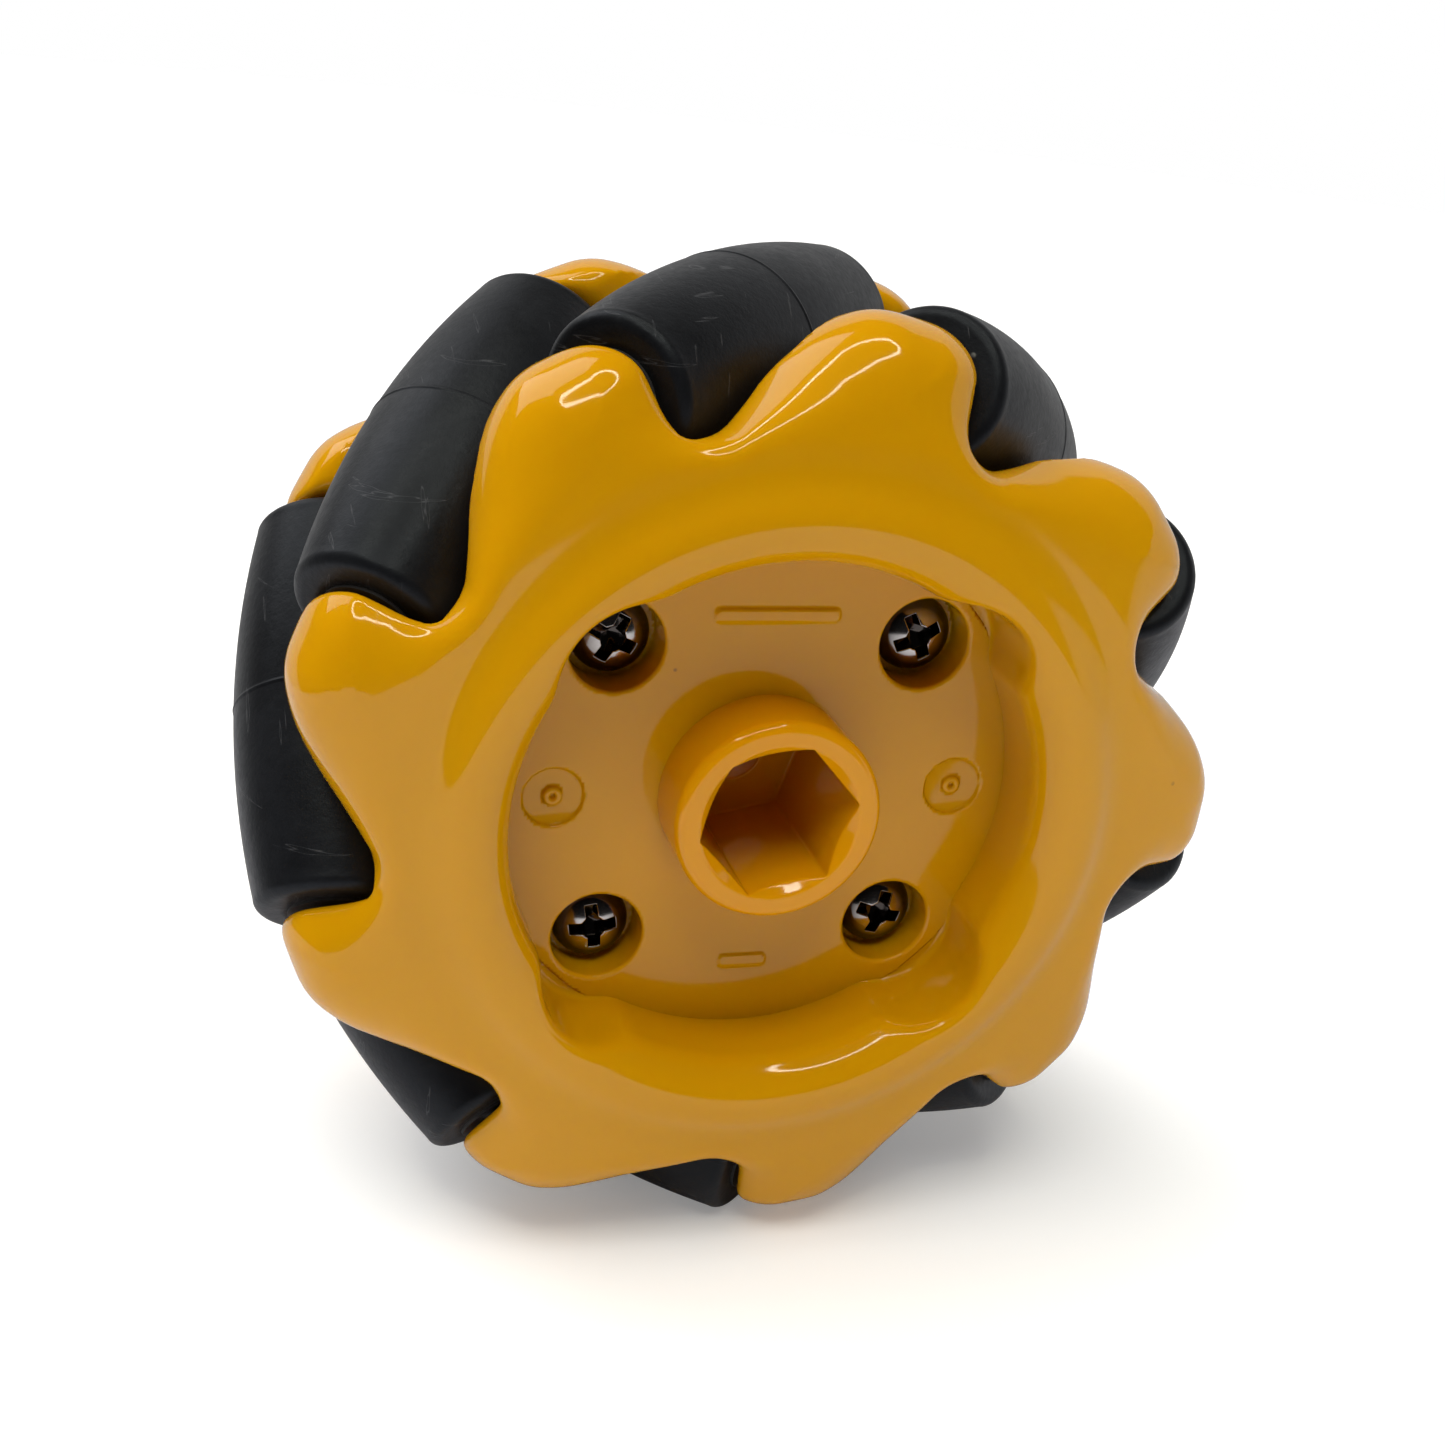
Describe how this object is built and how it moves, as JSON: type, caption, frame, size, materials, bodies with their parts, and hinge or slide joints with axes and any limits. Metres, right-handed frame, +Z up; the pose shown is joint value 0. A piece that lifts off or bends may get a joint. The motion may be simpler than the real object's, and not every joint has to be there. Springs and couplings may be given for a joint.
{
  "type": "mecanum wheel",
  "caption": "Mecanum wheel for a small robot: rubber barrel rollers set at 45 degrees between two yellow moulded half-shells, with a dished face and a hexagonal drive socket.",
  "frame": {"origin": "on the wheel's axle at the joint plane of the two half-shells, which is the middle of the wheel's width", "axes": "+Y along the wheel's axle from the front face, which has the screw heads, to the rear; +Z up; the screws lie on the diagonals of X and Z"},
  "size_m": [0.048, 0.0233, 0.048],
  "materials": {
    "shell_plastic": "glossy moulded yellow plastic",
    "roller_rubber": "matt black rubber with fine scuffs",
    "core_plastic": "black moulded sleeve",
    "axle_steel": "plain ground steel pin",
    "screw_nickel": "nickel-plated steel"
  },
  "bodies": {
    "hub": {"front_shell": "shell_plastic", "rear_shell": "shell_plastic", "shell_screws": "screw_nickel", "roller_axle_1": "axle_steel", "roller_axle_2": "axle_steel", "roller_axle_3": "axle_steel", "roller_axle_4": "axle_steel", "roller_axle_5": "axle_steel", "roller_axle_6": "axle_steel", "roller_axle_7": "axle_steel", "roller_axle_8": "axle_steel", "roller_axle_9": "axle_steel"},
    "roller_1": {"roller_tyre_1": "roller_rubber", "roller_core_1": "core_plastic"},
    "roller_2": {"roller_tyre_2": "roller_rubber", "roller_core_2": "core_plastic"},
    "roller_3": {"roller_tyre_3": "roller_rubber", "roller_core_3": "core_plastic"},
    "roller_4": {"roller_tyre_4": "roller_rubber", "roller_core_4": "core_plastic"},
    "roller_5": {"roller_tyre_5": "roller_rubber", "roller_core_5": "core_plastic"},
    "roller_6": {"roller_tyre_6": "roller_rubber", "roller_core_6": "core_plastic"},
    "roller_7": {"roller_tyre_7": "roller_rubber", "roller_core_7": "core_plastic"},
    "roller_8": {"roller_tyre_8": "roller_rubber", "roller_core_8": "core_plastic"},
    "roller_9": {"roller_tyre_9": "roller_rubber", "roller_core_9": "core_plastic"}
  },
  "joints": [
    {"name": "roller_1_spin", "type": "hinge", "parent": "hub", "child": "roller_1", "pos_m": [-0.01365, 0, 0.01365], "axis": [-0.5, -0.7071, -0.5], "continuous": true},
    {"name": "roller_2_spin", "type": "hinge", "parent": "hub", "child": "roller_2", "pos_m": [-0.01923, 0, 0.00168], "axis": [-0.0616, -0.7071, -0.7044], "continuous": true},
    {"name": "roller_3_spin", "type": "hinge", "parent": "hub", "child": "roller_3", "pos_m": [-0.01581, 0, -0.01107], "axis": [0.4056, -0.7071, -0.5792], "continuous": true},
    {"name": "roller_4_spin", "type": "hinge", "parent": "hub", "child": "roller_4", "pos_m": [-0.005, 0, -0.01864], "axis": [0.683, -0.7071, -0.183], "continuous": true},
    {"name": "roller_5_spin", "type": "hinge", "parent": "hub", "child": "roller_5", "pos_m": [0.00816, 0, -0.01749], "axis": [0.6409, -0.7071, 0.2988], "continuous": true},
    {"name": "roller_6_spin", "type": "hinge", "parent": "hub", "child": "roller_6", "pos_m": [0.01749, 0, -0.00816], "axis": [0.2988, -0.7071, 0.6409], "continuous": true},
    {"name": "roller_7_spin", "type": "hinge", "parent": "hub", "child": "roller_7", "pos_m": [0.01864, 0, 0.005], "axis": [-0.183, -0.7071, 0.683], "continuous": true},
    {"name": "roller_8_spin", "type": "hinge", "parent": "hub", "child": "roller_8", "pos_m": [0.01107, 0, 0.01581], "axis": [-0.5792, -0.7071, 0.4056], "continuous": true},
    {"name": "roller_9_spin", "type": "hinge", "parent": "hub", "child": "roller_9", "pos_m": [-0.00168, 0, 0.01923], "axis": [-0.7044, -0.7071, -0.0616], "continuous": true}
  ]
}
